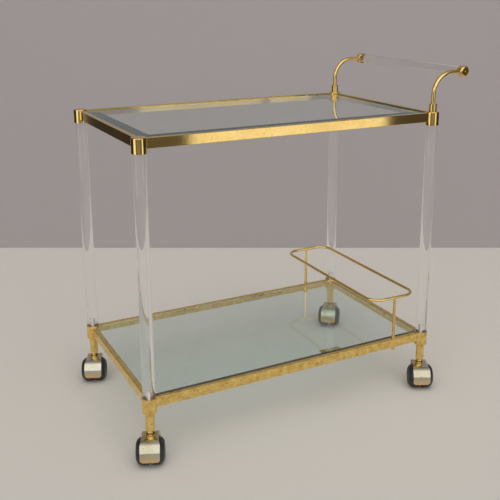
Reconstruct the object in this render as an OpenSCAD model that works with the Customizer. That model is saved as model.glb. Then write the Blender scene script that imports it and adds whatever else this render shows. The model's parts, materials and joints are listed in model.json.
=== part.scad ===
// Bar cart on wheels: two glass shelves in brass rails, on acrylic posts and four swivel casters.
// X runs along the cart towards its handle, Y from front to rear, Z up from the floor.

/* [Frame] */
// Distance between the post axes along the cart
span_x = 670; // [480:10:900]
// Distance between the post axes across the cart
span_y = 392; // [300:4:560]
// Rise from the top of the lower corner sockets to the top of the upper corner caps
shelf_rise = 517; // [400:1:700]
// Diameter of the upper caps and lower sockets
corner_d = 29; // [27.6:0.2:34]
// Height of an upper cap
corner_h = 30; // [27:1:40]
// Height of a lower socket
socket_h = 35; // [27:1:40]
// Diameter of the clear posts
post_d = 25; // [16:0.5:25.6]

/* [Rails] */
// Height of a rail
rail_h = 20; // [14:1:24]
// Thickness of a rail, from its outer to its inner face
rail_t = 10; // [8:0.5:14]
// Wall of the rail tube
rail_wall = 1.2; // [0.8:0.1:2]
// How far the rails lie below the top of their corner pieces
rail_drop = 2; // [0:0.5:4]
// Chamfer along the rails' edges
rail_chamfer = 0.7; // [0.2:0.1:1.5]

/* [Glass] */
// Thickness of the upper glass
upper_glass_t = 6; // [5:0.5:10]
// Thickness of the lower glass
lower_glass_t = 5; // [4:0.5:10]
// How far the glass lies below the top of the rails
glass_drop = 1; // [0:0.5:3]
// Width of the bevel round the upper glass
bevel_w = 25; // [10:1:40]
// Depth of the bevel at the edge of the glass
bevel_depth = 1.8; // [0.5:0.1:3]
// How far the lower glass stops short of its front rail
lower_glass_gap = 9; // [0.5:0.5:16]
// Length of a tab that the glass lies on
tab_l = 50; // [20:1:60]
// Distance of the tabs from the middle of a long rail
tab_x = 100; // [60:5:160]

/* [Handle] */
// Distance of the push bar from the post axes
handle_reach = 80; // [66:1:110]
// Height of the push bar's axis above the caps
handle_rise = 83; // [70:1:120]
// Diameter of the gooseneck rod
neck_d = 9; // [7:0.5:12]
// Radius of the gooseneck's bend
neck_bend = 47; // [30:1:50]
// Outer diameter of the handle cups
cup_d = 25; // [23.4:0.2:32]
// Length of a handle cup
cup_l = 16; // [12:1:24]
// Diameter of the clear push bar
bar_d = 20; // [14:0.5:20.5]

/* [Gallery] */
// Distance of the gallery posts from the post axes at the handle end
gallery_inset = 80; // [66:1:140]
// Width of the gallery loop along the cart, between rod centres
gallery_w = 118; // [90:1:125]
// Height of the loop's rod centre above the sockets
gallery_rise = 98; // [50:1:150]
// Diameter of the gallery's rods
gallery_d = 6.5; // [5:0.5:9]
// Corner radius of the loop, at the rod centre
gallery_corner = 30; // [15:1:40]

/* [Casters] */
// Diameter of a wheel
wheel_d = 55; // [45:1:66]
// Width over both wheels
twin_w = 57; // [54:1:66]
// Distance from the swivel axis back to the axle
trail = 16; // [14:0.5:20]
// Width of the hood
hood_w = 39; // [34:1:50]
// Diameter of the caster sleeves
sleeve_d = 18.5; // [17:0.5:24]
// Length of sleeve that shows under a socket
sleeve_l = 36; // [25:1:60]
// Direction in which the front left caster trails, from +X
front_left_heading = -113; // [-180:1:180]
// Direction in which the front right caster trails
front_right_heading = -118; // [-180:1:180]
// Direction in which the rear left caster trails
rear_left_heading = -113; // [-180:1:180]
// Direction in which the rear right caster trails
rear_right_heading = -129; // [-180:1:180]

/* [Hidden] */
$fn = 64;
brass = [0.80, 0.62, 0.28];
aged_brass = [0.72, 0.55, 0.24];
pale_brass = [0.78, 0.72, 0.52];
clear = [0.92, 0.94, 0.95, 0.35];
glass = [0.62, 0.76, 0.72, 0.40];
rubber = [0.08, 0.08, 0.09];
steel = [0.60, 0.60, 0.62];

// Clearances
running_gap = 0.05;   // radial, round a shaft that turns
seat_gap = 0.05;      // radial, round a rod or spigot that stays put
braze_gap = 0.03;     // between a coped rail end and its corner piece
glass_gap = 0.5;      // round the edge of the glass
cut = 1;              // how far a cutting shape runs past a face

// Corners, as the signs of X and Y
front_left = [-1, -1];
front_right = [1, -1];
rear_left = [-1, 1];
rear_right = [1, 1];
CORNERS = [front_left, front_right, rear_left, rear_right];

function heading(c) = c == front_left ? front_left_heading
                    : c == front_right ? front_right_heading
                    : c == rear_left ? rear_left_heading
                    : rear_right_heading;

// Points on an arc from angle a0 to a1, with n steps
function arc(centre, r, a0, a1, n = 8) =
    [for (i = [0:n]) centre + r * [cos(a0 + (a1 - a0) * i / n), sin(a0 + (a1 - a0) * i / n)]];

// A rectangle from low to high corner with its four edges chamfered
function chamfered(low, high, c) = [
    [low.x + c, low.y], [high.x - c, low.y], [high.x, low.y + c], [high.x, high.y - c],
    [high.x - c, high.y], [low.x + c, high.y], [low.x, high.y - c], [low.x, low.y + c]];

// Caster heights, from the floor up
wheel_r = wheel_d / 2;
wheel_gap = 0.6;      // between the wheels and the hood
swivel_gap = 0.5;     // between the sleeve and the turning collar
hood_wall = 1.4;
hood_r = wheel_r + wheel_gap + hood_wall;
hood_rise = hood_r + 2;
hood_top = wheel_r + hood_rise;
stem_neck_h = 1;
collar_h = 2.5;
collar_top = hood_top + stem_neck_h + collar_h;

// Heights
sleeve_foot = collar_top + swivel_gap;
socket_foot = sleeve_foot + sleeve_l;
socket_top = socket_foot + socket_h;
cap_top = socket_top + shelf_rise;
upper_rail_top = cap_top - rail_drop;
lower_rail_top = socket_top - rail_drop;
upper_glass_top = upper_rail_top - glass_drop;
lower_glass_top = lower_rail_top - glass_drop;

// Corner pieces
cap_round = 2;
corner_chamfer = 0.5;
socket_taper = 4;
stud_d = 8;
cap_roof = 12;
post_seat = 8;
stud_show = 18;
stud_in_cap = 5.5;
stud_in_socket = 9;
stud_up_post = 14;
post_foot = socket_top - post_seat;
post_head = cap_top - cap_roof;

// Casters
wheel_round = 14;
wheel_inner_y = 4.3;
wheel_rim = 3.7;
wheel_wall = 8;
wheel_dish_r = 12;
wheel_dish = 0.6;
hub_r = 6;
axle_d = 6;
axle_l = twin_w - 7;
stem_d = 8;
collar_d = 15;
stem_neck_d = 11;
stem_tail_d = 5.6;
stem_tail_l = 24;
stem_up = 38;
sleeve_chamfer = 1.5;
sleeve_spigot_d = 14;
sleeve_spigot_l = 10;
hood_head_r = 14;
hood_lip = 10.6;
hood_tail_up = 14;
hood_back = trail + hood_head_r;
hood_low_round = 8;
hood_top_round = 10;
web_w = 7.6;
web_r = wheel_r - 6.5;
web_back = 9;

// Reach of a caster from its swivel axis in the direction that is a degrees from where it trails
function wheel_reach(a) =
    (wheel_r - wheel_round) * abs(cos(a)) + (twin_w / 2 - wheel_round) * abs(sin(a)) + wheel_round;
function hood_reach(a) = cos(a) > 0
    ? hood_r * cos(a) + hood_w / 2 * abs(sin(a))
    : (hood_back - hood_top_round) * abs(cos(a)) + (hood_w / 2 - hood_top_round) * abs(sin(a))
      + hood_top_round;
function caster_reach(c, toward) =
    let (a = toward - heading(c)) trail * cos(a) + max(wheel_reach(a), hood_reach(a));

// The origin is on the floor, under the middle of the whole cart, so the frame is shifted from it
left_end = -span_x / 2 - max(caster_reach(front_left, 180), caster_reach(rear_left, 180), corner_d / 2);
right_end = span_x / 2 + max(handle_reach + cup_d / 2, caster_reach(front_right, 0),
                             caster_reach(rear_right, 0));
front_end = -span_y / 2 - max(caster_reach(front_left, -90), caster_reach(front_right, -90), cup_l / 2);
rear_end = span_y / 2 + max(caster_reach(rear_left, 90), caster_reach(rear_right, 90), cup_l / 2,
                            corner_d / 2);
shift = [-(left_end + right_end) / 2, -(front_end + rear_end) / 2, 0];

module at_corner(c) {
    translate(shift + [c.x * span_x / 2, c.y * span_y / 2, 0]) children();
}

// ---- Corner pieces and posts ----

module cap_body() {
    r = corner_d / 2;
    translate([0, 0, cap_top - corner_h])
        rotate_extrude()
            polygon(concat([[0, 0], [r - corner_chamfer, 0], [r, corner_chamfer]],
                           arc([r - cap_round, corner_h - cap_round], cap_round, 0, 90),
                           [[0, corner_h]]));
}

module cap(c) {
    color(brass) at_corner(c) difference() {
        cap_body();
        translate([0, 0, cap_top - corner_h - cut])
            cylinder(d = post_d + 2 * seat_gap, h = corner_h - cap_roof + cut);
        translate([0, 0, post_head - cut])
            cylinder(d = stud_d + 2 * seat_gap, h = stud_in_cap + cut);
        if (c.x > 0)
            translate([0, 0, cap_top - spigot_l])
                cylinder(d = spigot_d + 2 * seat_gap, h = spigot_l + cut);
    }
}

module socket(c) {
    r = corner_d / 2;
    taper_r = sleeve_d / 2 + 1.2;
    color(aged_brass) at_corner(c) difference() {
        translate([0, 0, socket_foot])
            rotate_extrude()
                polygon([[0, 0], [taper_r, 0], [r, socket_taper],
                         [r, socket_h - corner_chamfer], [r - corner_chamfer, socket_h], [0, socket_h]]);
        translate([0, 0, post_foot])
            cylinder(d = post_d + 2 * seat_gap, h = post_seat + cut);
        translate([0, 0, post_foot - stud_in_socket])
            cylinder(d = stud_d + 2 * seat_gap, h = stud_in_socket + cut);
        translate([0, 0, socket_foot - cut])
            cylinder(d = sleeve_spigot_d + 2 * seat_gap, h = sleeve_spigot_l + cut);
    }
}

module post(c) {
    color(clear) at_corner(c) difference() {
        translate([0, 0, post_foot]) cylinder(d = post_d, h = post_head - post_foot);
        translate([0, 0, post_foot - cut])
            cylinder(d = stud_d + 2 * seat_gap, h = post_seat + stud_show + cut + seat_gap);
        translate([0, 0, post_head - stud_up_post - seat_gap])
            cylinder(d = stud_d + 2 * seat_gap, h = stud_up_post + cut);
    }
}

module post_studs() {
    color(steel) for (c = CORNERS) at_corner(c) {
        translate([0, 0, post_foot - stud_in_socket])
            cylinder(d = stud_d, h = stud_in_socket + post_seat + stud_show);
        translate([0, 0, post_head - stud_up_post])
            cylinder(d = stud_d, h = stud_up_post + stud_in_cap);
    }
}

// ---- Rails ----

// A tube of the rail's section along X, centred on the origin, with its top face at z = 0
module rail_tube(length) {
    translate([-length / 2, 0, 0]) rotate([90, 0, 90]) linear_extrude(length) difference() {
        polygon(chamfered([-rail_t / 2, -rail_h], [rail_t / 2, 0], rail_chamfer));
        polygon(chamfered([-rail_t / 2 + rail_wall, rail_wall - rail_h],
                          [rail_t / 2 - rail_wall, -rail_wall], rail_chamfer / 2));
    }
}

// The round ends that a rail is coped to fit
module corner_clearance(top) {
    for (c = CORNERS) at_corner(c)
        translate([0, 0, top - corner_h - cut])
            cylinder(d = corner_d + 2 * braze_gap, h = corner_h + 2 * cut);
}

module long_rail(side, top, corner_top) {
    difference() {
        translate(shift + [0, side * span_y / 2, top]) rail_tube(span_x);
        corner_clearance(corner_top);
    }
}

module end_rail(side, top, corner_top) {
    difference() {
        translate(shift + [side * span_x / 2, 0, top]) rotate([0, 0, 90]) rail_tube(span_y);
        corner_clearance(corner_top);
    }
}

module upper_long_rail(side) color(brass) long_rail(side, upper_rail_top, cap_top);
module upper_end_rail(side) color(brass) end_rail(side, upper_rail_top, cap_top);

// The lower long rails are drilled for the gallery's threaded ends
module lower_long_rail(side) {
    color(aged_brass) difference() {
        long_rail(side, lower_rail_top, socket_top);
        translate(gallery_foot(side) - [0, 0, rail_h + cut])
            cylinder(d = thread_d + 2 * seat_gap, h = rail_h + 2 * cut);
    }
}
module lower_end_rail(side) color(aged_brass) end_rail(side, lower_rail_top, socket_top);

// ---- Glass ----

glass_x = span_x - rail_t - 2 * glass_gap;
glass_y = span_y - rail_t - 2 * glass_gap;

// A glass plate between its rails, with hollow corners clear of the corner pieces. front_gap is
// how far it stops short of the front rail.
module plate(top, thick, front_gap) {
    front = front_gap - span_y / 2 + rail_t / 2;
    difference() {
        translate(shift + [-glass_x / 2, front, top - thick])
            cube([glass_x, glass_y / 2 - front, thick]);
        for (c = CORNERS) at_corner(c)
            translate([0, 0, top - thick - cut])
                cylinder(d = corner_d + 2 * glass_gap, h = thick + 2 * cut);
    }
}

// The wedge that a bevel takes off the plate's edge along +X, for a plate w wide and l long
module bevel_wedge(w, l) {
    slope = bevel_depth / bevel_w;
    translate([0, l / 2, 0]) rotate([90, 0, 0]) linear_extrude(l)
        polygon([[w / 2 - bevel_w, 0], [w / 2 + bevel_w, -2 * bevel_depth],
                 [w / 2 + bevel_w, bevel_w * slope]]);
}

module upper_glass() {
    color(glass) difference() {
        plate(upper_glass_top, upper_glass_t, glass_gap);
        translate(shift + [0, 0, upper_glass_top]) for (turn = [0, 180]) {
            rotate([0, 0, turn]) bevel_wedge(glass_x, glass_y + 2 * cut);
            rotate([0, 0, turn + 90]) bevel_wedge(glass_y, glass_x + 2 * cut);
        }
    }
}

module lower_glass() color(glass) plate(lower_glass_top, lower_glass_t, lower_glass_gap);

// ---- Tabs and pads under the glass ----

tab_reach = 9;
long_tab_reach = 27;
tab_t = 2;
pad_d = 7;
pad_t = 1;

// Each tab as [side, distance along the rail, reach in from the rail]. The lower glass stops short
// of its front rail, where it lies on one longer tab.
UPPER_TABS = [for (side = [-1, 1], x = [-tab_x, tab_x]) [side, x, tab_reach]];
LOWER_TABS = [[-1, tab_x, long_tab_reach], [1, -tab_x, tab_reach], [1, tab_x, tab_reach]];

// Places the outer end of a tab on its rail's inner face, with +Y pointing in from the rail
module at_tab(tab) {
    translate(shift + [tab[1], tab[0] * (span_y / 2 - rail_t / 2), 0])
        rotate([0, 0, tab[0] > 0 ? 180 : 0]) children();
}

module shelf_tabs(list, glass_foot) {
    for (tab = list) at_tab(tab)
        translate([-tab_l / 2, 0, glass_foot - pad_t - tab_t]) cube([tab_l, tab[2], tab_t]);
}

module shelf_pads(list, glass_foot) {
    for (tab = list) at_tab(tab)
        translate([0, tab[2] - tab_reach / 2, glass_foot - pad_t]) cylinder(d = pad_d, h = pad_t);
}

module glass_tabs() {
    color(brass) {
        shelf_tabs(UPPER_TABS, upper_glass_top - upper_glass_t);
        shelf_tabs(LOWER_TABS, lower_glass_top - lower_glass_t);
    }
}

module glass_pads() {
    color(clear) {
        shelf_pads(UPPER_TABS, upper_glass_top - upper_glass_t);
        shelf_pads(LOWER_TABS, lower_glass_top - lower_glass_t);
    }
}

// ---- Handle ----

spigot_d = 8;
spigot_l = 5;
handle_collar_d = 17;
handle_collar_h = 17;
neck_seat = 10;
cup_round = 3;
cup_floor = 4;
bar_end_gap = 0.5;

module handle_collar(side) {
    r = handle_collar_d / 2;
    at_corner([1, side]) translate([0, 0, cap_top]) color(brass) difference() {
        union() {
            rotate_extrude()
                polygon([[0, 0], [r - 0.4, 0], [r, 0.4], [r, handle_collar_h - 1],
                         [r - 1, handle_collar_h], [0, handle_collar_h]]);
            translate([0, 0, -spigot_l]) cylinder(d = spigot_d, h = spigot_l + cut);
        }
        translate([0, 0, handle_collar_h - neck_seat])
            cylinder(d = neck_d + 2 * seat_gap, h = neck_seat + cut);
    }
}

module handle_neck(side) {
    straight_foot = handle_collar_h - neck_seat;
    bend_foot = handle_rise - neck_bend;
    at_corner([1, side]) translate([0, 0, cap_top]) color(brass) difference() {
        union() {
            translate([0, 0, straight_foot]) cylinder(d = neck_d, h = bend_foot - straight_foot);
            translate([neck_bend, 0, bend_foot]) rotate([90, 0, 0]) rotate([0, 0, 90])
                rotate_extrude(angle = 90) translate([neck_bend, 0]) circle(d = neck_d);
            translate([neck_bend, 0, handle_rise]) rotate([0, 90, 0])
                cylinder(d = neck_d, h = handle_reach - neck_bend);
        }
        translate([handle_reach, cup_l, handle_rise]) rotate([90, 0, 0])
            cylinder(d = cup_d + 2 * braze_gap, h = 2 * cup_l);
    }
}

// A cup with its closed end outwards, open towards the other cup
module handle_cup(side) {
    r = cup_d / 2;
    at_corner([1, side]) translate([handle_reach, -side * cup_l / 2, cap_top + handle_rise])
        rotate([-side * 90, 0, 0]) color(brass) difference() {
            rotate_extrude()
                polygon(concat([[0, 0], [r - corner_chamfer, 0], [r, corner_chamfer]],
                               arc([r - cup_round, cup_l - cup_round], cup_round, 0, 90),
                               [[0, cup_l]]));
            translate([0, 0, -cut])
                cylinder(d = bar_d + 2 * seat_gap, h = cup_l - cup_floor + cut);
        }
}

module handle_bar() {
    l = span_y + cup_l - 2 * cup_floor - 2 * bar_end_gap;
    color(clear) translate(shift + [span_x / 2 + handle_reach, l / 2, cap_top + handle_rise])
        rotate([90, 0, 0]) cylinder(d = bar_d, h = l);
}

// ---- Gallery ----

thread_d = 5;
foot_d = 10;
foot_h = 7;
nut_d = 11;
nut_h = 9;

function gallery_foot(side) =
    shift + [span_x / 2 - gallery_inset, side * span_y / 2, lower_rail_top];

module loop_side(length) {
    rotate([90, 0, 0]) translate([0, 0, -length / 2]) cylinder(d = gallery_d, h = length);
}

module gallery_loop() {
    x = gallery_w / 2;
    y = span_y / 2;
    color(brass) translate(shift + [span_x / 2 - gallery_inset, 0, socket_top + gallery_rise]) {
        for (turn = [0, 180]) rotate([0, 0, turn]) {
            translate([x, 0, 0]) loop_side(2 * (y - gallery_corner));
            translate([0, y, 0]) rotate([0, 0, 90]) loop_side(2 * (x - gallery_corner));
            translate([x - gallery_corner, y - gallery_corner, 0])
                rotate_extrude(angle = 90) translate([gallery_corner, 0]) circle(d = gallery_d);
            translate([x - gallery_corner, gallery_corner - y, 0]) rotate([0, 0, -90])
                rotate_extrude(angle = 90) translate([gallery_corner, 0]) circle(d = gallery_d);
        }
    }
}

// A rod with a threaded end that goes down through the rail, coped under the loop
module gallery_post(side) {
    rise = gallery_rise + rail_drop;
    color(brass) translate(gallery_foot(side)) difference() {
        union() {
            cylinder(d = gallery_d, h = rise);
            translate([0, 0, -rail_h - nut_h + 3]) cylinder(d = thread_d, h = rail_h + nut_h - 2);
        }
        translate([0, 0, rise]) rotate([0, 90, 0])
            cylinder(d = gallery_d + 2 * braze_gap, h = 2 * gallery_d, center = true);
    }
}

module gallery_feet() {
    color(brass) for (side = [-1, 1]) translate(gallery_foot(side)) difference() {
        cylinder(d1 = foot_d, d2 = gallery_d + 1.2, h = foot_h);
        translate([0, 0, -cut]) cylinder(d = gallery_d + 2 * seat_gap, h = foot_h + 2 * cut);
    }
}

// Acorn nuts under the rails, with a hexagon and a domed end
module gallery_nuts() {
    hex_h = 4;
    color(brass) for (side = [-1, 1]) translate(gallery_foot(side) - [0, 0, rail_h]) difference() {
        union() {
            translate([0, 0, -hex_h]) cylinder(d = nut_d, h = hex_h, $fn = 6);
            rotate([180, 0, 0]) rotate_extrude()
                polygon(concat([[0, hex_h - 1]], [[nut_d / 2 - 1, hex_h - 1]],
                               arc([0, hex_h], nut_d / 2 - 1, 0, 90), [[0, hex_h - 1]]));
        }
        translate([0, 0, -nut_h + 2.9]) cylinder(d = thread_d + 2 * seat_gap, h = nut_h);
    }
}

// ---- Casters ----

module caster_sleeve(c) {
    r = sleeve_d / 2;
    color(aged_brass) at_corner(c) translate([0, 0, sleeve_foot]) difference() {
        union() {
            rotate_extrude()
                polygon([[0, 0], [r - sleeve_chamfer, 0], [r, sleeve_chamfer], [r, sleeve_l],
                         [0, sleeve_l]]);
            translate([0, 0, sleeve_l - cut])
                cylinder(d = sleeve_spigot_d, h = sleeve_spigot_l + cut);
        }
        translate([0, 0, -cut])
            cylinder(d = stem_d + 2 * running_gap, h = sleeve_l + sleeve_spigot_l + 2 * cut);
    }
}

module caster_sleeves() for (c = CORNERS) caster_sleeve(c);

// Places a caster's own frame: the swivel axis on Z, the wheels trailing towards +X
module at_caster(c) at_corner(c) rotate([0, 0, heading(c)]) children();

// The same, with the axle's centre as origin
module at_axle(c) at_caster(c) translate([trail, 0, wheel_r]) children();

module caster_stem(c) {
    color(pale_brass) at_caster(c) {
        translate([0, 0, collar_top - cut]) cylinder(d = stem_d, h = stem_up + cut);
        translate([0, 0, collar_top - collar_h]) cylinder(d = collar_d, h = collar_h);
        translate([0, 0, hood_top]) cylinder(d = stem_neck_d, h = collar_top - collar_h - hood_top);
        translate([0, 0, hood_top - stem_tail_l]) cylinder(d = stem_tail_d, h = stem_tail_l);
    }
}

// The hood's outline seen from the side: a round nose about the axle and a rounder back above it,
// joined by their common tangents. in is how far the outline lies inside the outer one.
module hood_side(in) {
    nose_r = hood_r - in;
    back_r = hood_head_r - in;
    back = [-trail, hood_rise - hood_head_r];
    lean = atan2(back.y, back.x);
    open = acos((nose_r - back_r) / norm(back));
    function on(centre, r, a) = centre + r * [cos(a), sin(a)];
    circle(r = nose_r);
    translate(back) circle(r = back_r);
    polygon([[0, 0], on([0, 0], nose_r, lean - open), on(back, back_r, lean - open), back,
             on(back, back_r, lean + open), on([0, 0], nose_r, lean + open)]);
}

// Extrudes an outline in the side view across the caster, w wide about its middle
module across(w) rotate([90, 0, 0]) translate([0, 0, -w / 2]) linear_extrude(w) children();

// The hood's form: the side outline across its width, with round corners at the top and back.
// in is how far it lies inside the outer form.
module hood_form(in) {
    half = hood_w / 2 - in;
    top = hood_top_round - in;
    rise = hood_rise - in;
    back = hood_back - in;
    reach = 3 * wheel_r;
    intersection() {
        across(2 * half) hood_side(in);
        rotate([90, 0, 90]) translate([0, 0, -reach]) linear_extrude(2 * reach)
            polygon(concat([[half, -reach]], arc([half - top, rise - top], top, 0, 90),
                           arc([top - half, rise - top], top, 90, 180), [[-half, -reach]]));
        translate([0, 0, -reach]) linear_extrude(2 * reach)
            polygon(concat([[reach, -half], [reach, half]],
                           arc([top - back, half - top], top, 90, 180),
                           arc([top - back, top - half], top, 180, 270)));
    }
}

// A shell of even wall, open over the wheels, with round corners at its lip
module hood_shell() {
    half = hood_w / 2;
    low = hood_low_round;
    reach = 3 * wheel_r;
    difference() {
        intersection() {
            hood_form(0);
            rotate([90, 0, 90]) translate([0, 0, -reach]) linear_extrude(2 * reach)
                polygon(concat(arc([half - low, low - hood_lip], low, -90, 0),
                               [[half, reach], [-half, reach]],
                               arc([low - half, low - hood_lip], low, 180, 270)));
        }
        hood_form(hood_wall);
        across(hood_w + 2 * cut) circle(r = wheel_r + wheel_gap);
        across(hood_w + 2 * cut)
            polygon([[0, -reach], [0, 0], [-web_back, hood_tail_up], [-reach, hood_tail_up],
                     [-reach, -reach]]);
    }
}

// The web between the wheels, which holds the axle and the stem
module hood_web() {
    intersection() {
        across(web_w) hood_side(hood_wall / 2);
        across(web_w + 2 * cut) {
            circle(r = web_r);
            translate([-trail - web_back, 0]) square([2 * web_back, hood_rise]);
        }
    }
}

module caster_hood(c) {
    color(pale_brass) difference() {
        at_axle(c) union() {
            hood_shell();
            hood_web();
        }
        at_axle(c) across(web_w + 2 * cut) circle(d = axle_d + 2 * seat_gap);
        at_caster(c) translate([0, 0, hood_top - stem_tail_l - seat_gap])
            cylinder(d = stem_tail_d + 2 * seat_gap, h = stem_tail_l + 2 * cut);
    }
}

module caster_axle(c) color(steel) at_axle(c) across(axle_l) circle(d = axle_d);

// One wheel, hollow towards the web, closed outside; side is -1 or 1 along the axle
module caster_wheel(c, side) {
    y0 = wheel_inner_y;
    y1 = twin_w / 2;
    rim_r = wheel_r - wheel_rim;
    bore_r = axle_d / 2 + running_gap;
    bore_end = axle_l / 2 + 0.4;
    color(rubber) at_axle(c) rotate([-side * 90, 0, 0]) rotate_extrude()
        polygon(concat([[0, bore_end], [bore_r, bore_end], [bore_r, y0], [hub_r, y0],
                        [hub_r, y1 - wheel_wall], [rim_r, y1 - wheel_wall], [rim_r, y0],
                        [wheel_r - corner_chamfer, y0], [wheel_r, y0 + corner_chamfer]],
                       arc([wheel_r - wheel_round, y1 - wheel_round], wheel_round, 0, 90, 10),
                       [[wheel_dish_r, y1], [wheel_dish_r - wheel_dish, y1 - wheel_dish],
                        [0, y1 - wheel_dish]]));
}

upper_long_rail(-1);  // upper_front_rail
upper_long_rail(1);  // upper_rear_rail
upper_end_rail(-1);  // upper_left_rail
upper_end_rail(1);  // upper_right_rail
lower_long_rail(-1);  // lower_front_rail
lower_long_rail(1);  // lower_rear_rail
lower_end_rail(-1);  // lower_left_rail
lower_end_rail(1);  // lower_right_rail
cap(front_left);  // front_left_cap
cap(front_right);  // front_right_cap
cap(rear_left);  // rear_left_cap
cap(rear_right);  // rear_right_cap
socket(front_left);  // front_left_socket
socket(front_right);  // front_right_socket
socket(rear_left);  // rear_left_socket
socket(rear_right);  // rear_right_socket
post(front_left);  // front_left_post
post(front_right);  // front_right_post
post(rear_left);  // rear_left_post
post(rear_right);  // rear_right_post
post_studs();
upper_glass();
lower_glass();
glass_tabs();
glass_pads();
handle_collar(-1);  // front_handle_collar
handle_collar(1);  // rear_handle_collar
handle_neck(-1);  // front_handle_neck
handle_neck(1);  // rear_handle_neck
handle_cup(-1);  // front_handle_cup
handle_cup(1);  // rear_handle_cup
handle_bar();
gallery_loop();
gallery_post(-1);  // front_gallery_post
gallery_post(1);  // rear_gallery_post
gallery_feet();
gallery_nuts();
caster_sleeves();
caster_hood(front_left);  // front_left_caster_hood
caster_stem(front_left);  // front_left_caster_stem
caster_axle(front_left);  // front_left_caster_axle
caster_wheel(front_left, -1);  // front_left_wheel_a
caster_wheel(front_left, 1);  // front_left_wheel_b
caster_hood(front_right);  // front_right_caster_hood
caster_stem(front_right);  // front_right_caster_stem
caster_axle(front_right);  // front_right_caster_axle
caster_wheel(front_right, -1);  // front_right_wheel_a
caster_wheel(front_right, 1);  // front_right_wheel_b
caster_hood(rear_left);  // rear_left_caster_hood
caster_stem(rear_left);  // rear_left_caster_stem
caster_axle(rear_left);  // rear_left_caster_axle
caster_wheel(rear_left, -1);  // rear_left_wheel_a
caster_wheel(rear_left, 1);  // rear_left_wheel_b
caster_hood(rear_right);  // rear_right_caster_hood
caster_stem(rear_right);  // rear_right_caster_stem
caster_axle(rear_right);  // rear_right_caster_axle
caster_wheel(rear_right, -1);  // rear_right_wheel_a
caster_wheel(rear_right, 1);  // rear_right_wheel_b
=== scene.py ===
# %% [markdown]
# # A brass and glass bar cart
# The cart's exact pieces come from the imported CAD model, which stays where it is. This file gives
# every piece its finish, models again the few pieces whose looks need finer work than the CAD
# solids have, and sets up a small studio: a pale floor, a grey wall, soft lights and a camera.

# %% Load the frame
import json
import math
import bpy
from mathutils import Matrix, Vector

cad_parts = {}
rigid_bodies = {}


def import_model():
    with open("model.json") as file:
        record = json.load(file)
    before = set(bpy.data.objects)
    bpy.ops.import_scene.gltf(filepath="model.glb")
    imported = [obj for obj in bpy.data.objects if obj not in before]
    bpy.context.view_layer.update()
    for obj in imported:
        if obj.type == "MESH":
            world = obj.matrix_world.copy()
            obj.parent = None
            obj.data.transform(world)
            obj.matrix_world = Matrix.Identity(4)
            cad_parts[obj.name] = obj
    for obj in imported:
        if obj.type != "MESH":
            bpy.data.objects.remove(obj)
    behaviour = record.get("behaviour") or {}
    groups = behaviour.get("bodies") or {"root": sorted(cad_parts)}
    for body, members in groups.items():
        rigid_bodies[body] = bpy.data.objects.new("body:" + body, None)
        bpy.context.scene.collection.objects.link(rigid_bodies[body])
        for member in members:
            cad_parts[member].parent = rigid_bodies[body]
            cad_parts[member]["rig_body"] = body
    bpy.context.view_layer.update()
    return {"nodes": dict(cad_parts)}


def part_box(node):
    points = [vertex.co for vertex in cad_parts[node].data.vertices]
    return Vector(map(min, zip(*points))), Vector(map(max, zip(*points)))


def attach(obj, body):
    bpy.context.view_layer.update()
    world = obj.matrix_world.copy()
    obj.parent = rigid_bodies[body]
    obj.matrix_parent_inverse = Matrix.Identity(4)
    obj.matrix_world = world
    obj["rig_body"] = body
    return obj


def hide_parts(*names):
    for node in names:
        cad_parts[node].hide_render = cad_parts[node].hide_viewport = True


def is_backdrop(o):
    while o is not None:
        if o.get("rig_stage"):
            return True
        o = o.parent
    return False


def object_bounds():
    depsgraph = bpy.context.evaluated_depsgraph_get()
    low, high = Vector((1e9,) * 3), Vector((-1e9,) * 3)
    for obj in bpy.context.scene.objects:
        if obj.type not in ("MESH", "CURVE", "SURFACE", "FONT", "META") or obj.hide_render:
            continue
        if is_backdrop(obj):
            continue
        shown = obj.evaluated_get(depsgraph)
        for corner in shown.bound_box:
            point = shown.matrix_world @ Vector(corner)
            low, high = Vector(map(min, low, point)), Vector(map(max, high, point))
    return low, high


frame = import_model()

CORNERS = ["front_left", "front_right", "rear_left", "rear_right"]
MM = 0.001

# %% [markdown]
# ## Camera
# A long lens a good step back from the cart keeps its uprights parallel. The view is from the front
# left corner, above the upper shelf, looking a little down. The lens shift keeps the cart's
# place in the frame without tilting the view any further.

# %% Camera
VIEW_TILT, VIEW_TURN = math.radians(75.45), math.radians(-27.85)
camera_data = bpy.data.cameras.new("studio_camera")
camera_data.sensor_width = 36
camera_data.lens = 56.53
camera_data.shift_x = -0.028
camera_data.shift_y = -0.11
camera = bpy.data.objects.new("studio_camera", camera_data)
camera.location = (-0.8114, -1.5147, 0.9042)
camera.rotation_euler = (VIEW_TILT, 0, VIEW_TURN)
bpy.context.scene.collection.objects.link(camera)
bpy.context.scene.camera = camera
print("camera looks down by", round(90 - math.degrees(VIEW_TILT), 2), "degrees")

# %% [markdown]
# ## Studio
# The floor is one plain pale sheet and the wall one plain grey sheet, square to the view. Brass
# shows what stands round it, so the light matters as much as the metal: a broad soft glow comes
# from in front and above, and the room is dim behind and to the right. Two tall panels, one to the
# left and one to the front right, draw the bright stripes on the round pieces and the long glow on
# the near rail.

# %% Floor and wall
def plain_sheet(name, size, location, rotation, colour, rough):
    bpy.ops.object.select_all(action="DESELECT")
    bpy.ops.mesh.primitive_plane_add(size=1, location=location, rotation=rotation)
    sheet = bpy.context.object
    sheet.name = name
    sheet.scale = (size[0], size[1], 1)
    material = bpy.data.materials.new(name)
    material.use_nodes = True
    shader = material.node_tree.nodes["Principled BSDF"]
    shader.inputs["Base Color"].default_value = (*colour, 1)
    shader.inputs["Roughness"].default_value = rough
    shader.inputs["Specular IOR Level"].default_value = 0.2
    sheet.data.materials.append(material)
    sheet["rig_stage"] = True
    return sheet


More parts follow.
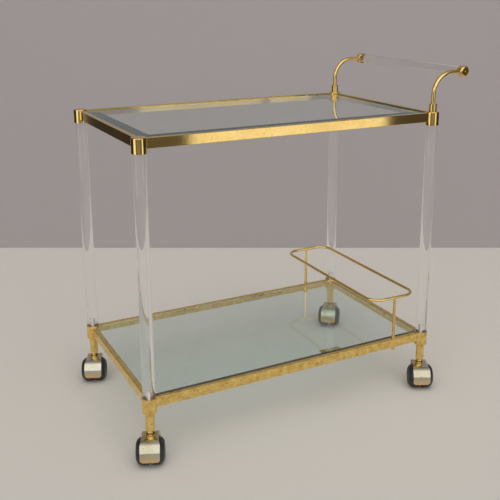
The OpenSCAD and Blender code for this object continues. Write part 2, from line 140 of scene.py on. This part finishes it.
WALL_AWAY, WALL_HIGH = 1.0, 3.4
WALL_GREY, FLOOR_GREY = (0.43, 0.395, 0.40), (0.76, 0.725, 0.67)
CHALKY = 0.9
LEVEL, UPRIGHT = (0, 0, 0), (math.pi / 2, 0, VIEW_TURN)
wall_x, wall_y = -math.sin(VIEW_TURN) * WALL_AWAY, math.cos(VIEW_TURN) * WALL_AWAY
floor = plain_sheet("studio_floor", (40, 40), (0, 0, 0), LEVEL, FLOOR_GREY, CHALKY)
wall = plain_sheet("studio_wall", (9, WALL_HIGH), (wall_x, wall_y, WALL_HIGH / 2), UPRIGHT,
                   WALL_GREY, CHALKY)
print("the wall stands", WALL_AWAY, "m behind the cart's middle")

# %% [markdown]
# Polished brass would mirror the floor and the wall out to the horizon, and lose its contrast. So its
# faces see two smaller cards in their places, and past those the dim air.

# %% Cards that the brass mirrors
def only_in_brass(card):
    """The card shows only in shiny faces, like the bright part of a real room round the cart."""
    card.visible_camera = card.visible_diffuse = card.visible_transmission = False
    card.visible_shadow = False


CARD_LIFT, CARD_FRONT = 0.003, 0.995
floor.visible_glossy = wall.visible_glossy = False
only_in_brass(plain_sheet("floor_card", (2.8, 2.8), (0, 0, CARD_LIFT), LEVEL, FLOOR_GREY, CHALKY))
only_in_brass(plain_sheet("wall_card", (2.7, WALL_HIGH),
                          (CARD_FRONT * wall_x, CARD_FRONT * wall_y, WALL_HIGH / 2), UPRIGHT,
                          WALL_GREY, CHALKY))

# %% [markdown]
# Area lights stand in for a window and a pale ceiling. A small lamp would leave a dot on the brass and
# a broad panel leaves a stripe, so the panels are wide. The two side panels only draw stripes: if
# they lit the dull floor as well, they would leave a bright streak across it.

# %% Light panels
def light_panel(name, width, height, location, aim, radiance, lights_floor=True):
    """A soft panel that the camera does not see, as bright as its radiance says."""
    data = bpy.data.lights.new(name, "AREA")
    data.shape = "RECTANGLE"
    data.size, data.size_y = width, height
    data.energy = radiance * math.pi * width * height
    panel = bpy.data.objects.new(name, data)
    panel.location = location
    panel.rotation_euler = (Vector(aim) - Vector(location)).to_track_quat("-Z", "Y").to_euler()
    panel.visible_camera = False
    panel.visible_transmission = False
    panel.visible_diffuse = lights_floor
    bpy.context.scene.collection.objects.link(panel)
    return panel


ceiling = light_panel("ceiling_panel", 3.0, 3.0, (-0.3, -1.0, 3.0), (0, 0, 0), 0.80)
ceiling.visible_glossy = False
light_panel("right_panel", 1.03, 1.9, (1.18, -2.35, 0.85), (0.1, -0.1, 0.7), 1.0, lights_floor=False)
light_panel("left_panel", 1.3, 1.9, (-2.5, -0.45, 0.9), (-0.3, 0, 0.7), 1.15, lights_floor=False)

# %% [markdown]
# What no panel covers is the air of the room. One flat grey would make brass look like paint. So the
# air's brightness follows how nearly a direction points at a soft source: dim, then grey, then
# bright, and dim again below the horizon. Looked at directly, the air is the wall's grey.

# %% Room glow
SOURCE = Vector((-0.35, -0.76, 0.54)).normalized()
DIM, GREY, SEEN_AIR = (0.12, 0.112, 0.108), (0.26, 0.25, 0.245), (0.31, 0.285, 0.285)
HORIZON_LOW, HORIZON_HIGH, DIM_BELOW, AIR_STRENGTH = 0.06, 0.20, 0.38, 0.9
world = bpy.data.worlds.new("studio_air")
bpy.context.scene.world = world
world.use_nodes = True
wn = world.node_tree.nodes
wl = world.node_tree.links
aim = wn.new("ShaderNodeVectorMath")
aim.operation = "DOT_PRODUCT"
aim.inputs[1].default_value = SOURCE
wl.new(wn.new("ShaderNodeTexCoord").outputs["Generated"], aim.inputs[0])
glow = wn.new("ShaderNodeValToRGB")
glow.color_ramp.elements[0].position = 0.0
glow.color_ramp.elements[0].color = (*DIM, 1)
glow.color_ramp.elements[1].position = 0.42
glow.color_ramp.elements[1].color = (*GREY, 1)
for at, grey in ((0.68, 0.62), (0.86, 1.35)):
    e = glow.color_ramp.elements.new(at)
    e.color = (grey, grey * 0.985, grey * 0.96, 1)
wl.new(aim.outputs["Value"], glow.inputs["Fac"])
air = wn["Background"]
height = wn.new("ShaderNodeSeparateXYZ")
wl.new(aim.inputs[0].links[0].from_socket, height.inputs["Vector"])
horizon = wn.new("ShaderNodeMapRange")
horizon.inputs["From Min"].default_value = HORIZON_LOW
horizon.inputs["From Max"].default_value = HORIZON_HIGH
horizon.inputs["To Min"].default_value = DIM_BELOW
wl.new(height.outputs["Z"], horizon.inputs["Value"])
dimmed = wn.new("ShaderNodeVectorMath")
dimmed.operation = "SCALE"
wl.new(glow.outputs["Color"], dimmed.inputs[0])
wl.new(horizon.outputs["Result"], dimmed.inputs["Scale"])
wl.new(dimmed.outputs["Vector"], air.inputs["Color"])
air.inputs["Strength"].default_value = AIR_STRENGTH
seen = wn.new("ShaderNodeBackground")
seen.inputs["Color"].default_value = (*SEEN_AIR, 1)
path = wn.new("ShaderNodeLightPath")
mix = wn.new("ShaderNodeMixShader")
wl.new(path.outputs["Is Camera Ray"], mix.inputs["Fac"])
wl.new(air.outputs["Background"], mix.inputs[1])
wl.new(seen.outputs["Background"], mix.inputs[2])
wl.new(mix.outputs["Shader"], wn["World Output"].inputs["Surface"])
bpy.context.scene.view_settings.view_transform = "Standard"
print("the glow comes from", [round(c, 2) for c in SOURCE])

# %% [markdown]
# ## Finishes
# Each finish starts from the Principled shader. Noise in object coordinates varies its colour and
# roughness, and a little bump gives the surface its pits and fine scratches.

# %% Helpers for finishes
def new_finish(name):
    material = bpy.data.materials.new(name)
    material.use_nodes = True
    nodes = material.node_tree.nodes
    place = nodes.new("ShaderNodeTexCoord")
    return material, nodes, material.node_tree.links, nodes["Principled BSDF"], place.outputs["Object"]


def stretched(nodes, links, place, scale):
    mapping = nodes.new("ShaderNodeMapping")
    mapping.inputs["Scale"].default_value = scale
    links.new(place, mapping.inputs["Vector"])
    return mapping.outputs["Vector"]


def noise(nodes, links, place, scale, detail=4.0, rough=0.55):
    node = nodes.new("ShaderNodeTexNoise")
    node.inputs["Scale"].default_value = scale
    node.inputs["Detail"].default_value = detail
    node.inputs["Roughness"].default_value = rough
    links.new(place, node.inputs["Vector"])
    return node.outputs["Fac"]


def ramp(nodes, links, value, stops):
    """Turns a value into colours at the given stops, each a place and a colour or grey."""
    node = nodes.new("ShaderNodeValToRGB")
    links.new(value, node.inputs["Fac"])
    elements = node.color_ramp.elements
    for i, (at, colour) in enumerate(stops):
        e = elements[i] if i < 2 else elements.new(at)
        e.position = at
        e.color = (*colour, 1) if isinstance(colour, tuple) else (colour, colour, colour, 1)
    return node.outputs["Color"]


def blend_colours(nodes, links, factor, a, b):
    """Blends two colours; the factor and the colours are sockets or plain values."""
    node = nodes.new("ShaderNodeMix")
    node.data_type = "RGBA"
    for socket, value in ((node.inputs[0], factor), (node.inputs[6], a), (node.inputs[7], b)):
        if isinstance(value, bpy.types.NodeSocket):
            links.new(value, socket)
        else:
            socket.default_value = (*value, 1) if isinstance(value, tuple) else value
    return node.outputs[2]


def bump(nodes, links, shader, height, strength, distance):
    node = nodes.new("ShaderNodeBump")
    node.inputs["Strength"].default_value = strength
    node.inputs["Distance"].default_value = distance
    links.new(height, node.inputs["Height"])
    links.new(node.outputs["Normal"], shader.inputs["Normal"])


# %% [markdown]
# Old brass is never one colour: it tarnishes in clouds, has dark pits, and carries fine scratches the
# way that it was rubbed. A yellow mirror would miss all three, so noise at three scales makes them. The
# upper frame is polished and the lower one dull and mottled, by the same nodes with other numbers.
# The caster hoods are plated, and towards the lip their colour turns golden: a painted
# reflection of the floor below, blended in by height.

# %% Brass
RELIEF = 0.2 * MM
LIP_Z = (0.021, 0.030)    # between these heights a hood's painted golden reflection of the floor fades into the plain plating


def near_lip(nodes, links, place):
    height = nodes.new("ShaderNodeSeparateXYZ")
    links.new(place, height.inputs["Vector"])
    wear_and_painted_reflection = nodes.new("ShaderNodeMapRange")
    wear_and_painted_reflection.inputs["From Min"].default_value, wear_and_painted_reflection.inputs["From Max"].default_value = LIP_Z
    wear_and_painted_reflection.inputs["To Min"].default_value, wear_and_painted_reflection.inputs["To Max"].default_value = 1.0, 0.0
    links.new(height.outputs["Z"], wear_and_painted_reflection.inputs["Value"])
    return wear_and_painted_reflection.outputs["Result"]


def brass(name, bright, dull, spot, smooth, rough, grain, pits, clouds=16, painted_reflection_tone=None):
    """Brass with cloudy tarnish, dark pits and fine scratches along the grain. The last colour, when
    given, is a painted reflection of the floor, blended in towards the bottom of the piece."""
    material, nodes, links, shader, place = new_finish(name)
    shader.inputs["Metallic"].default_value = 1.0
    cloud = noise(nodes, links, place, clouds, 5)
    tarnish = ramp(nodes, links, cloud, [(0.36, bright), (0.68, dull)])
    speck = noise(nodes, links, place, 420, 3, 0.6)
    specks = ramp(nodes, links, speck, [(0.60 - 0.1 * pits, 0.0), (0.74 - 0.1 * pits, 1.0)])
    colour = blend_colours(nodes, links, specks, tarnish, spot)
    # Towards the bottom of the piece the colour turns to the given tone: a painted reflection of the
    # floor.
    if painted_reflection_tone:
        wear_and_painted_reflection = near_lip(nodes, links, place)
        colour = blend_colours(nodes, links, wear_and_painted_reflection, colour, painted_reflection_tone)
    links.new(colour, shader.inputs["Base Color"])
    scratch = noise(nodes, links, stretched(nodes, links, place, grain), 1, 3, 0.7)
    wear = blend_colours(nodes, links, 0.5, scratch, cloud)
    links.new(ramp(nodes, links, wear, [(0.35, smooth), (0.65, rough)]), shader.inputs["Roughness"])
    relief = blend_colours(nodes, links, 0.45, scratch, speck)
    bump(nodes, links, shader, relief, 0.10 + 0.25 * pits, RELIEF)
    return material


ALONG, ACROSS = 6, 900
GRAIN = {"x": (ALONG, ACROSS, ACROSS), "y": (ACROSS, ALONG, ACROSS), "z": (ACROSS, ACROSS, ALONG)}
BRIGHT, DULL, SPOT = (0.90, 0.64, 0.23), (0.80, 0.54, 0.17), (0.35, 0.21, 0.06)
AGED, AGED_DULL = (1.0, 0.75, 0.27), (0.76, 0.50, 0.13)
polished = {axis: brass("polished_brass_" + axis, BRIGHT, DULL, SPOT, 0.03, 0.09, grain, 0.1)
            for axis, grain in GRAIN.items()}
aged = {axis: brass("aged_brass_" + axis, AGED, AGED_DULL, SPOT, 0.18, 0.34, grain, 0.55, 75)
        for axis, grain in GRAIN.items()}
# The hood's last colour is the golden painted reflection of the floor, low on each hood.
plated = brass("caster_plate", (0.64, 0.62, 0.52), (0.56, 0.50, 0.35), (0.28, 0.20, 0.09),
               0.05, 0.12, GRAIN["z"], 0.1, 26, (0.86, 0.60, 0.30))
print("brass finishes:", len(polished) + len(aged) + 1)

# %% [markdown]
# The posts and the push bar are acrylic and the shelves are faintly green glass. A glass shader alone
# would throw dark shadows, because it bends the light away from the lamps. So shadow rays pass
# straight through with a light tint, and all other rays see the true clear stuff.

# %% Clear finishes
def clear(name, tint, ior, shade, haze=0.0, smooth=0.0, rough=0.05):
    """Clear stuff that lets lamps through, with faint wiping marks in its gloss. haze is the share of
    light that its scratches scatter."""
    material, nodes, links, shader, place = new_finish(name)
    wipes = noise(nodes, links, stretched(nodes, links, place, (30, 30, 8)), 1, 4)
    links.new(ramp(nodes, links, wipes, [(0.4, tint), (0.7, tuple(0.97 * t for t in tint))]),
              shader.inputs["Base Color"])
    shader.inputs["Transmission Weight"].default_value = 1.0 - haze
    shader.inputs["IOR"].default_value = ior
    links.new(ramp(nodes, links, wipes, [(0.45, smooth), (0.75, rough)]), shader.inputs["Roughness"])
    through = nodes.new("ShaderNodeBsdfTransparent")
    through.inputs["Color"].default_value = (*shade, 1)
    path = nodes.new("ShaderNodeLightPath")
    mix = nodes.new("ShaderNodeMixShader")
    links.new(path.outputs["Is Shadow Ray"], mix.inputs["Fac"])
    links.new(shader.outputs["BSDF"], mix.inputs[1])
    links.new(through.outputs["BSDF"], mix.inputs[2])
    links.new(mix.outputs["Shader"], nodes["Material Output"].inputs["Surface"])
    return material


ACRYLIC_IOR, GLASS_IOR = 1.49, 1.52
acrylic = clear("clear_acrylic", (0.95, 0.945, 0.945), ACRYLIC_IOR, (0.93, 0.925, 0.92), haze=0.06)
clear_bar = clear("clear_bar", (0.975, 0.97, 0.97), ACRYLIC_IOR, (0.95, 0.95, 0.95), smooth=0.02)
drilled = clear("drilled_acrylic", (0.95, 0.90, 0.87), ACRYLIC_IOR, (0.9, 0.9, 0.9), 0.5, 0.3, 0.6)
shelf_glass = clear("shelf_glass", (0.84, 0.945, 0.93), GLASS_IOR, (0.95, 0.965, 0.96))
glass_slope = clear("glass_slope", (0.25, 0.62, 0.62), GLASS_IOR, (0.92, 0.95, 0.945), 0.10)
glass_edge = clear("glass_edge", (0.60, 0.80, 0.76), GLASS_IOR, (0.85, 0.92, 0.90), 0.15, 0.15, 0.4)

clears = (acrylic, clear_bar, drilled, shelf_glass, glass_slope, glass_edge)
print("clear finishes:", [m.name for m in clears])

# %% [markdown]
# Tyres, studs and pads show little of themselves, but a single flat colour would look new and
# false. Each has patches in its colour and a fine grain in its gloss. The dark red-brown finish of
# the handle cups' end discs is made the same way. Its colour is a painted dark reflection of the
# dim room in the polished end.

# %% Dark and plain finishes
def solid(name, colour, wear_and_painted_reflection, smooth, rough, metallic, scale, relief):
    """A plain stuff with some wear in colour and gloss."""
    material, nodes, links, shader, place = new_finish(name)
    shader.inputs["Metallic"].default_value = metallic
    patch = noise(nodes, links, place, scale, 5)
    links.new(ramp(nodes, links, patch, [(0.4, colour), (0.7, wear_and_painted_reflection)]), shader.inputs["Base Color"])
    fine = noise(nodes, links, place, scale * 12, 3)
    links.new(ramp(nodes, links, fine, [(0.35, smooth), (0.65, rough)]), shader.inputs["Roughness"])
    bump(nodes, links, shader, fine, relief, RELIEF)
    return material


tyre = solid("tyre_black", (0.011, 0.011, 0.014), (0.030, 0.029, 0.029), 0.32, 0.5, 0.0, 60, 0.15)
# Painted dark reflection: the dark red-brown of the handle cups' end discs stands in for the dim room
# mirrored in polished brass.
dark_reflection_paint = solid("dark_enamel", (0.075, 0.028, 0.014), (0.11, 0.05, 0.025), 0.10, 0.25, 0.0, 120, 0.05)
steel = solid("plain_steel", (0.58, 0.58, 0.59), (0.42, 0.42, 0.43), 0.2, 0.4, 1.0, 90, 0.1)
nickel = solid("stud_nickel", (0.88, 0.77, 0.70), (0.70, 0.60, 0.53), 0.25, 0.4, 1.0, 90, 0.1)
vinyl = solid("clear_vinyl", (0.75, 0.78, 0.77), (0.65, 0.68, 0.67), 0.3, 0.5, 0.0, 90, 0.05)
print("plain finishes:", [m.name for m in (tyre, dark_reflection_paint, steel, nickel, vinyl)])

# %% [markdown]
# ## Finishes on the frame's pieces
# A CAD piece whose shape is right keeps it and gets its finish here. The grain of each rail runs
# along it, and that of the upright pieces runs up.

# %% Give each CAD piece its finish
def finish_of(node):
    upright = "z"
    if "wheel" in node:
        return tyre
    if node.endswith("hood"):
        return plated
    if node.endswith("stem"):
        return polished["z"]
    if "axle" in node or node == "post_studs":
        return steel
    if "glass_pads" in node:
        return vinyl
    if "post" in node and "gallery" not in node or node == "handle_bar":
        return acrylic
    if node in ("upper_glass", "lower_glass"):
        return shelf_glass
    run = "x" if "front_rail" in node or "rear_rail" in node else "y" if "rail" in node else upright
    if node.startswith("lower") or "socket" in node or node == "caster_sleeves":
        return aged[run]
    return polished["y" if node == "gallery_loop" else run]


for name, piece in frame["nodes"].items():
    piece.data.materials.clear()
    piece.data.materials.append(finish_of(name))
print("pieces with a finish:", len(frame["nodes"]))

# %% [markdown]
# ## Pieces with finer work
# Where a piece is clear, or shows small work that its CAD solid leaves out, it is modelled here and
# stands for its CAD piece. Turned pieces grow ring by ring from a disc, as on a lathe.

# %% Helpers for turned pieces
def only(piece):
    bpy.ops.object.select_all(action="DESELECT")
    piece.select_set(True)
    bpy.context.view_layer.objects.active = piece


def turned(name, rings, sides=64, crease=28):
    """A closed piece about Z from rings of radius and height in mm, first and last filled."""
    bpy.ops.object.select_all(action="DESELECT")
    bpy.ops.mesh.primitive_circle_add(vertices=sides, radius=rings[0][0] * MM, fill_type="NGON",
                                      location=(0, 0, rings[0][1] * MM))
    piece = bpy.context.object
    piece.name = name
    bpy.ops.object.transform_apply(location=True, rotation=True, scale=True)
    bpy.ops.object.mode_set(mode="EDIT")
    bpy.ops.mesh.select_mode(type="FACE")
    bpy.ops.mesh.select_all(action="SELECT")
    for (r0, z0), (r1, z1) in zip(rings, rings[1:]):
        bpy.ops.mesh.extrude_region_move(TRANSFORM_OT_translate={"value": (0, 0, (z1 - z0) * MM)})
        bpy.ops.transform.resize(value=(r1 / r0, r1 / r0, 1))
    bpy.ops.mesh.select_all(action="SELECT")
    bpy.ops.mesh.normals_make_consistent(inside=False)
    bpy.ops.object.mode_set(mode="OBJECT")
    bpy.ops.object.shade_smooth_by_angle(angle=math.radians(crease))
    return piece


def put(piece, location, rotation=(0, 0, 0)):
    only(piece)
    piece.location = location
    piece.rotation_euler = rotation
    bpy.ops.object.transform_apply(location=True, rotation=True, scale=True)


def stands_for(piece, node, slot, *finishes):
    piece.data.materials.clear()
    for finish in finishes:
        piece.data.materials.append(finish)
    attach(piece, frame["nodes"][node]["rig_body"])
    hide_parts(node)


def rounding(r, z, fillet, start, steps=8):
    """Rings round a corner of the given fillet, whose centre is at radius r and height z."""
    turns = [math.radians(start + (90 - start) * i / steps) for i in range(steps + 1)]
    return [(r + fillet * math.cos(t), z + fillet * math.sin(t)) for t in turns]


def middle(node):
    low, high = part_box(node)
    return (low + high) / 2


# %% [markdown]
# ### Clear posts and push bar
# The posts are clear rods with polished edges, drilled at each end for a stud, and a drilled wall
# looks frosted. The hole could be cut out of a cylinder, but on the lathe it is just the start and the
# end of the profile, and its faces are those near the axis. The bar is such a rod without holes.

# %% Clear posts and push bar
STUD_R, LOW_HOLE, HIGH_HOLE, EDGE = 4.05, 26.05, 14.05, 0.5
for corner in CORNERS:
    node = corner + "_post"
    low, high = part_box(node)
    r, tall = (high.x - low.x) / 2 / MM, (high.z - low.z) / MM
    post = turned("clear_" + node, [
        (STUD_R, LOW_HOLE), (STUD_R, 0), (r - EDGE, 0), (r, EDGE), (r, tall - EDGE), (r - EDGE, tall),
        (STUD_R, tall), (STUD_R, tall - HIGH_HOLE)], sides=96)
    for face in post.data.polygons:
        face.material_index = int(math.hypot(face.center.x, face.center.y) < 1.05 * STUD_R * MM)
    put(post, (middle(node).x, middle(node).y, low.z))
    stands_for(post, node, "acrylic", acrylic, drilled)
low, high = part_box("handle_bar")
r, long = (high.x - low.x) / 2 / MM, (high.y - low.y) / MM
bar = turned("clear_push_bar", [(r - EDGE, 0), (r, EDGE), (r, long - EDGE), (r - EDGE, long)], sides=96)
put(bar, (middle("handle_bar").x, high.y, middle("handle_bar").z), (math.pi / 2, 0, 0))
stands_for(bar, "handle_bar", "acrylic", clear_bar)
print("push bar, radius and length in mm:", round(r, 2), round(long, 1))

# %% [markdown]
# ### Threaded studs
# A threaded rod with chamfered ends joins each post to its cap, and a longer one joins it to its
# socket. They show through the clear post. A true helix would take many faces for a few grey
# lines, so the thread is a stack of ridges. The eight studs are one piece, as in the CAD model.

# %% Threaded studs
PITCH, CREST_R, ROOT_R = 1.5, 3.95, 3.5
TIP, TIP_R = 0.9, 2.6
LOW_STUD, HIGH_STUD = 35.0, 19.5


def stud(name, tall):
    rings = [(TIP_R, 0), (ROOT_R, TIP)]
    z = TIP
    while z < tall - TIP - PITCH:
        rings += [(CREST_R, z + PITCH / 2), (ROOT_R, z + PITCH)]
        z += PITCH
    return turned(name, rings + [(ROOT_R, tall - TIP), (TIP_R, tall)], sides=40, crease=60)


studs = []
low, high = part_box("post_studs")
for corner in CORNERS:
    for name, foot, tall in (("low", low.z, LOW_STUD), ("high", high.z - HIGH_STUD * MM, HIGH_STUD)):
        rod = stud(corner + name, tall)
        put(rod, (middle(corner + "_post").x, middle(corner + "_post").y, foot))
        studs.append(rod)
only(studs[0])
for rod in studs:
    rod.select_set(True)
bpy.ops.object.join()
studs[0].name = "threaded_studs"
stands_for(studs[0], "post_studs", "steel", nickel)
print("threaded studs:", len(CORNERS) * 2)

# %% [markdown]
# ### Glass plates
# The upper plate has a wide slope ground round it, and all edges of both plates have a fine ground
# arris that catches the light. The CAD plates have the right shape, so a copy of each is merged and
# its sharp edges are bevelled. Slopes and edges show the deeper green of the glass: their faces are
# picked by how they lie, and get finishes of their own.

# %% Glass plates
def ground_plate(name, node, arris):
    piece = bpy.data.objects.new(name, frame["nodes"][node].data.copy())
    bpy.context.scene.collection.objects.link(piece)
    only(piece)
    bpy.ops.object.mode_set(mode="EDIT")
    bpy.ops.mesh.select_all(action="SELECT")
    bpy.ops.mesh.remove_doubles(threshold=0.00001)
    bpy.ops.mesh.dissolve_limited(angle_limit=math.radians(0.5))
    bpy.ops.mesh.select_mode(type="EDGE")
    bpy.ops.mesh.select_all(action="DESELECT")
    bpy.ops.mesh.edges_select_sharp(sharpness=math.radians(40))
    bpy.ops.mesh.bevel(offset=arris * MM, segments=2, affect="EDGES")
    bpy.ops.mesh.select_all(action="SELECT")
    bpy.ops.mesh.normals_make_consistent(inside=False)
    bpy.ops.object.mode_set(mode="OBJECT")
    bpy.ops.object.shade_smooth_by_angle(angle=math.radians(2))
    stands_for(piece, node, "shelf_glass", shelf_glass, glass_slope, glass_edge)
    for face in piece.data.polygons:
        up = abs(face.normal.z)
        face.material_index = 0 if up > 0.9995 else 1 if up > 0.98 else 2
    print(name, "faces:", len(piece.data.polygons))


ground_plate("ground_upper_glass", "upper_glass", 0.4)
ground_plate("ground_lower_glass", "lower_glass", 0.4)

# %% [markdown]
# ### Wheels
# A caster's twin wheels are black all over: a tread with two fine grooves, a full shoulder, and a
# shallow dish with a hub cap. A torus would be too round, so the wheel is turned from a profile. Each
# one is then laid on its own axle, with its hollow side towards the caster's middle.

# %% Wheels
WHEEL_R, SHOULDER, OUTER, INNER = 27.44, 13.98, 28.48, 4.3
BORE_R, BORE_END, HUB_R, RIM_R, WEB = 3.05, 25.4, 6, 23.8, 20.5
GROOVES, GROOVE_DEEP = (8.0, 12.0), 0.4


def wheel_rings():
    rings = [(BORE_R, BORE_END), (BORE_R, INNER), (HUB_R, INNER), (HUB_R, WEB), (RIM_R, WEB),
             (RIM_R, INNER), (26.9, INNER), (27.3, INNER + 0.15), (WHEEL_R, INNER + 0.6)]
    for groove in GROOVES:
        low_r = WHEEL_R - GROOVE_DEEP
        rings += [(WHEEL_R, groove), (low_r, groove + 0.2), (low_r, groove + 0.7),
                  (WHEEL_R, groove + 0.9)]
    rings += rounding(WHEEL_R - SHOULDER, OUTER - SHOULDER, SHOULDER, 0, 14)
    rings += [(12.4, OUTER), (11.9, 28.2), (11.7, 27.8), (10.2, 27.7), (9.9, 27.9), (9.6, 28.3)]
    return rings + [(8.8, 28.42), (6, 28.45), (2, 28.47)]


for node in [n for n in frame["nodes"] if "wheel" in n]:
    corner, side = node.split("_wheel_")
    axle = middle(corner + "_caster_axle")
    trail = axle - middle(corner + "_caster_stem")
    turn = math.atan2(trail.y, trail.x) + math.pi / 2 * (1 if side == "b" else -1)
    wheel = turned("tyre_" + node, wheel_rings(), sides=72)
    put(wheel, axle, (0, math.pi / 2, turn))
    stands_for(wheel, node, "wheel_black", tyre)
print("wheels:", sum("wheel" in n for n in frame["nodes"]))

# %% [markdown]
# ### Handle cups
# Each cup is open towards the other one, for the push bar. Its outer end has a dark red-brown disc,
# sunk a little inside a rounded lip, with a tiny light steel dot shaped as a screw head in its
# middle. The disc's colour is a painted dark reflection of the dim room in the polished end, and
# the light dot is a painted glint. One turned profile makes it all, and the disc and the dot are
# the faces of that end near the axis.

# %% Handle cups
DISC_FOOT, DISC_R, GLINT_DOT_R = 15.4, 8.65, 1.6
for side, node in ((-1, "front_handle_cup"), (1, "rear_handle_cup")):
    low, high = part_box(node)
    rings = [(10.05, 12), (10.05, 0.4), (10.4, 0), (12.1, 0), (12.5, 0.4)]
    rings += rounding(7.5, 11.0, 5.0, 0, 10)[:-2]
    rings += [(9.0, 15.9), (8.8, 15.85), (8.7, 15.5), (8.6, 15.45), (5, 15.6), (1.7, 15.65),
              (1.6, 15.8), (1.2, 15.95), (0.3, 16.0)]
    cup = turned("lipped_" + node, rings, sides=80)
    for face in cup.data.polygons:
        away = math.hypot(face.center.x, face.center.y) / MM
        on_end = face.center.z > DISC_FOOT * MM
        face.material_index = 2 if on_end and away < GLINT_DOT_R else 1 if on_end and away < DISC_R else 0
    end = low.y if side > 0 else high.y
    put(cup, (middle(node).x, end, middle(node).z), (-side * math.pi / 2, 0, 0))
    # Slot 1 is the painted dark reflection on the end disc, and slot 2 the light steel dot, a painted
    # glint.
    stands_for(cup, node, "polished_brass", polished["z"], dark_reflection_paint, steel)
print("handle cups: 2")

# %% [markdown]
# ## Measure and finish
# The finished cart is meant to fill the same box as its CAD model. Its size is printed here.

# %% Print the sizes
low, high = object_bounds()
print("visual size in mm:", [round(1000 * (b - a), 1) for a, b in zip(low, high)])
